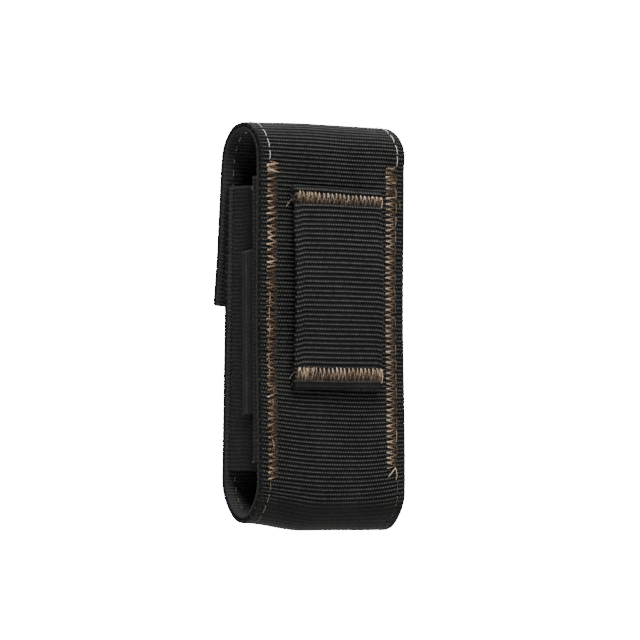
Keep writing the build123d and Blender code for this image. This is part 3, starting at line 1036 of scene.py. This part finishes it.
clean = Thread(CLEAN_RADIUS)
rows = (-SEAM_INNER + 0.4, -SEAM_OUTER + 0.7)
span = (seam_low + LAST_TURN, seam_top)
sew(clean, on_strap, (
    (rows, span, ZIGZAG_PERIOD * 0.62, 0.2, 0.05, (-0.08, -0.2), PAINTED_SHADE_TINT, 0.0),
    (rows, span, ZIGZAG_PERIOD, 0.07, 0.3, (0.05, -0.34), (0.7, 1.5), 2.2),
    (rows, (seam_top - LOCK, seam_top), ZIGZAG_PERIOD * 0.55, 0.12, 0.45, (0.0, -0.25), (-1.5, 1.2), 0.7),
))
run_stitches(clean, -SEAM_OUTER + 1.0, seam_low + 6, seam_top - 1, wobble=0.12, height=0.25, tint=(-0.9, 0.6),
             thickness=0.8)
apex = (-21.7, seam_low + 2.9, 0.0)
down = [(-19.1, seam_low, -0.2), (-20.4, seam_low + 1.6, 0.3), apex]
back = [apex, (-22.0, seam_low + 1.0, 0.3), (-22.1, seam_low - 0.8, -0.2)]
for controls in (down, back):
    clean.add(*on_strap(smooth_line(controls, 6)), tint=(1.0, 1.3), thickness=0.8)
stand_in(clean.make("left_back_zigzag", BROWN_THREAD), "left_back_seam", "sheath")

double = Thread(DOUBLE_RADIUS)
rows = (SEAM_OUTER, SEAM_INNER + 0.2)
under_rows = (SEAM_OUTER - 0.2, SEAM_INNER + 0.5)
sew(double, on_strap, (
    (under_rows, BACK_SEAM, ZIGZAG_PERIOD * 0.85, 0.2, 0.1, (0.0, -0.3), PAINTED_SHADE_TINT, 0.3),
    (rows, (seam_low, middle), ZIGZAG_PERIOD * 1.1, 0.2, 0.28, (0.14, -0.45), (-0.4, 0.9), 1.9),
    (rows, (middle, seam_top), ZIGZAG_PERIOD * 1.1, 0.2, 0.28, (0.14, -0.45), (0.1, 1.3), 1.9),
    (rows, (seam_top - START, seam_top), 1.15, 0.1, 0.42, (0.15, -0.15), (-0.3, 1.4), 0.8),
))
run_stitches(double, RUN_X + 0.1, broken, back_s(RUN_TOP_Z), wobble=0.16, height=0.38, tint=(-0.3, 0.9),
             thickness=0.75)
run_stitches(double, RUN_X - 0.7, seam_low, broken, wobble=0.2, height=0.45, tint=(-0.8, 0.6), thickness=0.75)
above_seam = np.array([-RUN_X, BACK_FACE, 34.6])
loose_end(double, above_seam + [(0.0, 0.1, 0.0), (-1.0, 0.3, -0.4), (-1.3, 0.0, -2.0)])
stand_in(double.make("right_back_zigzag", BROWN_THREAD), "right_back_seam", "sheath")

lip = np.array([cad_box("right_gusset")[1][0], cad_box("right_side_loop")[1][1], 0.0])
frayed = [lip + [(0.1, 1.1, z + 0.6), (0.3, 0.9, z), (0.2, 0.8, z - 0.5)] for z in (37.0, -40.6)]
for name, side in SIDES:
    x = side * RUN_X
    front = Thread()
    rows = (side * SEAM_INNER, side * SEAM_OUTER)
    sew(front, on_strap, [(rows, FRONT_SEAM, ZIGZAG_PERIOD, 0.08, 0.3, (-0.22, -0.22), (0.0, 1.0), 0.0)])
    piece = front.make(f"{name}_front_zigzag", BROWN_THREAD)
    stand_in(piece, f"{name}_front_seam", "sheath")

    bottom = Thread(RUN_RADIUS)
    tint = (-0.7 + 0.3 * side, 0.3 * side)
    run_stitches(bottom, x, FRONT_SEAM[1] + 0.5, seam_low - 0.3, tint=tint, thickness=0.65)
    run_stitches(bottom, x, FRONT_SEAM[1] + 1.0, seam_low, inside=True, tint=(-0.4, 0.7), thickness=0.8)
    for end in frayed if side == 1 else []:
        loose_end(bottom, end)
    stand_in(bottom.make(f"{name}_bottom_run", TAN_THREAD), f"{name}_bottom_stitch", "sheath")

    runs = (
        ("crown", (seam_top + 0.3, S_APEX), (seam_top - 4, S_APEX - 1), (0.0, 0.8), 0.9, "flap_lift"),
        ("flap", (S_APEX + 0.5, S_END - 2.0), (S_APEX + 1, S_END - 2.5), (0.0, 1.0), 1.0, "flap_unbend"),
    )
    for part, outer_span, inner_span, tint, thickness, joint in runs:
        run = Thread(RUN_RADIUS)
        run_stitches(run, x, *outer_span, tint=tint, thickness=thickness)
        run_stitches(run, x, *inner_span, inside=True, tint=INSIDE_PAINTED_SHADE_TINT, thickness=0.8)
        piece = stand_in(run.make(f"{name}_{part}_run", CREAM_THREAD), f"{name}_{part}_stitch")
        bend_between(piece, joint)


def cross_row(thread, s, half):
    """A row of straight stitches across the strap."""
    count = round(2 * half / (RUN_STITCH + RUN_GAP))
    pitch = 2 * half / count
    for i in range(count):
        first = -half + i * pitch
        last = first + pitch - RUN_GAP
        wobble = rng.normal(0, 0.05)
        controls = [
            (first, s + wobble, -HOLE_DEPTH),
            (first + 0.3, s + wobble, 0.12),
            (0.5 * (first + last), s, 0.24),
            (last - 0.3, s - wobble, 0.12),
            (last, s - wobble, -HOLE_DEPTH),
        ]
        thread.add(*on_strap(smooth_line(controls, 5)))


rows = (
    ("mouth_run", "mouth_stitch", front_s, "sheath"),
    ("flap_end_run", "flap_end_stitch", flap_s, "flap_front"),
)
for name, node, length_at, body in rows:
    low, high = cad_box(node)
    row = Thread(RUN_RADIUS)
    cross_row(row, length_at((low[2] + high[2]) / 2), high[0])
    stand_in(row.make(name, CREAM_THREAD), node, body)


def bartack(name, box, node, trim, stray):
    """A bartack across the belt loop: steep strokes over a first pass painted all in the shade colour,
    painted shade, closer at both ends, with a turn down the -x end. Each stroke is painted darker towards its
    lower end, painted shade. trim shortens the strokes from above, stray is the cut end's way from the +x
    end."""
    low, high = plate_s(box[0][2]) + 0.1, plate_s(box[1][2]) - trim
    left, right = box[0][0], box[1][0]
    thread = Thread()
    sew(thread, on_loop, (
        ((low + 0.1, high - 0.3), (left, right), 0.85, 0.12, 0.02, (-0.14, -0.18), PAINTED_SHADE_TINT, 0.0),
        ((high, low), (left + 0.2, right), BARTACK_PERIOD, 0.1, 0.34, (0.08, -0.42), (0.8, 1.6), 2.0),
        ((high + 0.1, low + 0.4), (right - 5.4, right + 0.1), 1.1, 0.16, 0.5, (0.1, -0.3), (-0.2, 1.3), 1.2),
        ((high - 0.1, low + 0.2), (left - 0.1, left + 3.2), 0.95, 0.12, 0.4, (0.0, -0.3), (-0.5, 1.0), 1.0),
    ), swap=True)
    x = left - 0.25
    turn = [(x, high - 0.1, -0.2), (x - 0.1, high - 0.8, 0.2), (x, low + 0.6, 0.2), (x, low - 0.3, -0.2)]
    thread.add(*on_loop(smooth_line(turn, 6)), tint=(0.7, 1.2))
    corner = np.array([right, box[1][1], box[1][2] - trim - 1.0])
    loose_end(thread, corner + stray)
    stand_in(thread.make(name, BROWN_THREAD), node, "sheath")


TOP_STRAY = [(-0.6, 0.2, 0.6), (0.3, 0.3, 0.7), (1.0, -0.6, -0.4), (1.7, -1.7, -1.8), (2.2, -2.1, -3.0)]
BOTTOM_STRAY = [(-0.4, 0.1, -0.6), (0.5, 0.0, -0.2), (1.1, -0.9, -1.0), (1.5, -1.7, -2.2)]
bartack("top_bartack_thread", TOP_TACK, "belt_loop_top_bartack", TOP_TRIM, TOP_STRAY)
bartack("bottom_bartack_thread", BOTTOM_TACK, "belt_loop_bottom_bartack", 0.1, BOTTOM_STRAY)


# ---- press stud


def turned(name, profile, centre, axis, material, sides=72):
    """A piece turned on a lathe: (radius, distance along the axis) from the axis out and back to it."""
    profile = smooth_line(profile, 4)
    axis = np.array(axis) / np.linalg.norm(axis)
    first = np.array([1.0, 0.0, 0.0])
    second = np.cross(axis, first)
    angle = np.arange(sides) * 2 * math.pi / sides
    spokes = np.cos(angle)[:, None] * first + np.sin(angle)[:, None] * second
    radius = np.maximum(profile[:, 0], 0.01)
    rings = centre + radius[:, None, None] * spokes[None] + profile[:, 1][:, None, None] * axis
    return loft(name, rings, np.zeros_like(rings), material)


def stud_place(s):
    """Centre on the strap's outer face, and the axis pointing out of it."""
    y, z = STRAP.at(np.array(s), 0.0)
    return np.array([0.0, float(y), float(z)]), STRAP.outward(np.array(s))


def behind(*profile):
    """A profile with its distances measured inwards from the lining's inner face."""
    return [(radius, -STRAP_THICKNESS - depth) for radius, depth in profile]


SNAP_Z = 14.0
CAP = [
    (0, 1.42), (1.6, 1.4), (3.4, 1.22), (4.7, 0.98), (5.2, 0.86), (5.5, 0.9), (5.85, 0.86), (6.15, 0.55),
    (6.2, 0.25), (6.0, 0.0), (4.0, 0.02), (1.8, 0.0), (1.75, -1.0), *behind((1.75, -0.1), (0, -0.1)),
]
SOCKET = behind(
    (0, 0.35), (2.4, 0.38), (2.9, 0.6), (3.1, 1.1), (3.05, 1.6), (3.4, 1.72), (3.9, 1.6), (4.1, 1.1),
    (4.3, 0.6), (4.9, 0.45), (5.0, 0.2), (4.9, 0), (2, 0), (0, 0),
)
STUD = [
    (0, 1.85), (1.2, 1.86), (1.85, 1.7), (2.1, 1.3), (1.9, 0.8), (2.0, 0.5), (2.6, 0.42), (4.2, 0.4),
    (4.9, 0.32), (5.0, 0.15), (4.9, 0.02), (2.5, 0.0), (0, 0.0),
]
POST = [
    (0, 0.0), (1.75, 0.0), (1.75, -1.2),
    *behind((1.8, 0), (3.0, 0), (4.8, 0), (5.0, 0.15), (4.8, 0.36), (2.5, 0.4), (0, 0.4)),
]
cap_place = stud_place(flap_s(SNAP_Z))
base_place = stud_place(front_s(SNAP_Z))
snap = (
    ("snap_cap_dome", CAP, cap_place, ENAMEL, "snap_black", "snap_cap", "flap_front"),
    ("snap_socket_ring", SOCKET, cap_place, BRASS, "snap_brass", "snap_socket", "flap_front"),
    ("snap_stud_button", STUD, base_place, BRASS, "snap_brass", "snap_stud", "sheath"),
    ("snap_post_flange", POST, base_place, ENAMEL, "snap_black", "snap_post", "sheath"),
)
for name, profile, (centre, axis), material, slot_name, node, body in snap:
    piece = turned(name, profile, centre, axis, material)
    stand_in(piece, node, body)


# ---- floor, light and camera

CENTRE = Vector((0.0, ORIGIN_Y, ORIGIN_Z)) * MM


def direction(azimuth, elevation):
    """From the object towards a viewer: azimuth 0 is in front of the flap, 180 behind the belt loop."""
    a, e = math.radians(azimuth), math.radians(elevation)
    return Vector((math.sin(a) * math.cos(e), -math.cos(a) * math.cos(e), math.sin(e)))


def softbox(name, azimuth, elevation, distance, size, power):
    light = bpy.data.lights.new(name, "AREA")
    light.shape = "DISK"
    light.size = size
    light.energy = power
    lamp = add_object(name, light)
    towards = direction(azimuth, elevation)
    lamp.location = CENTRE + towards * distance
    lamp.rotation_mode = "QUATERNION"
    lamp.rotation_quaternion = towards.to_track_quat("Z", "Y")


def white_world(strength):
    """White behind everything, seen by the camera only."""
    world = bpy.data.worlds.new("white_sweep")
    world.use_nodes = True
    bpy.context.scene.world = world
    background = world.node_tree.nodes["Background"]
    background.inputs["Color"].default_value = (1, 1, 1, 1)
    background.inputs["Strength"].default_value = strength
    for ray in ("diffuse", "glossy", "transmission", "scatter"):
        setattr(world.cycles_visibility, ray, False)


def pale_floor(drop, radius, sides=96):
    turns = [2 * math.pi * i / sides for i in range(sides)]
    rim = [(radius * math.cos(turn), radius * math.sin(turn), cad_low.z - drop) for turn in turns]
    mesh = bpy.data.meshes.new("floor")
    mesh.from_pydata(rim, [], [tuple(range(sides))])
    m = Shader("pale_floor")
    cloud = m.noise(None, 3.0, 2.0, 0.5)
    m.set(Base_Color=m.mix(cloud, (0.84, 0.84, 0.83), (0.88, 0.88, 0.87)), Roughness=0.7)
    mesh.materials.append(m.material)
    add_object("floor", mesh)


def photo_camera(azimuth, elevation, roll, distance, focal_share, shift_x):
    """A camera that looks at the sheath's middle. focal_share is the focal length over the sensor's
    width."""
    camera = bpy.data.cameras.new("camera")
    camera.sensor_width = 36.0
    camera.lens = camera.sensor_width * focal_share
    camera.shift_x = shift_x
    camera.clip_start, camera.clip_end = 0.05, 20.0
    holder = add_object("camera", camera)
    back = direction(azimuth, elevation)
    level = Vector((math.cos(math.radians(azimuth)), math.sin(math.radians(azimuth)), 0.0))
    upright = back.cross(level)
    r = math.radians(roll)
    right = level * math.cos(r) + upright * math.sin(r)
    up = upright * math.cos(r) - level * math.sin(r)
    turn = Matrix((right, up, back)).transposed()
    holder.matrix_world = Matrix.Translation(CENTRE + back * distance) @ turn.to_4x4()
    bpy.context.scene.camera = holder


VIEW_AZIMUTH = 144.5
LIGHTS = (  # name, azimuth, elevation, distance, size and power
    ("key", VIEW_AZIMUTH + 15, 62, 1.1, 0.7, 30.0),
    ("low", VIEW_AZIMUTH, 25, 1.3, 1.0, 0.8),
    ("fill_far", VIEW_AZIMUTH + 62, 38, 1.3, 0.8, 5.0),
    ("fill_near", VIEW_AZIMUTH - 70, 38, 1.3, 0.8, 5.0),
    ("front", -25, 55, 1.2, 0.8, 18.0),
)
white_world(strength=20.0)
pale_floor(drop=0.25, radius=2.9)
for light in LIGHTS:
    softbox(*light)
photo_camera(VIEW_AZIMUTH, elevation=-2.04, roll=-0.156, distance=1.001, focal_share=5.415625, shift_x=0.0075)
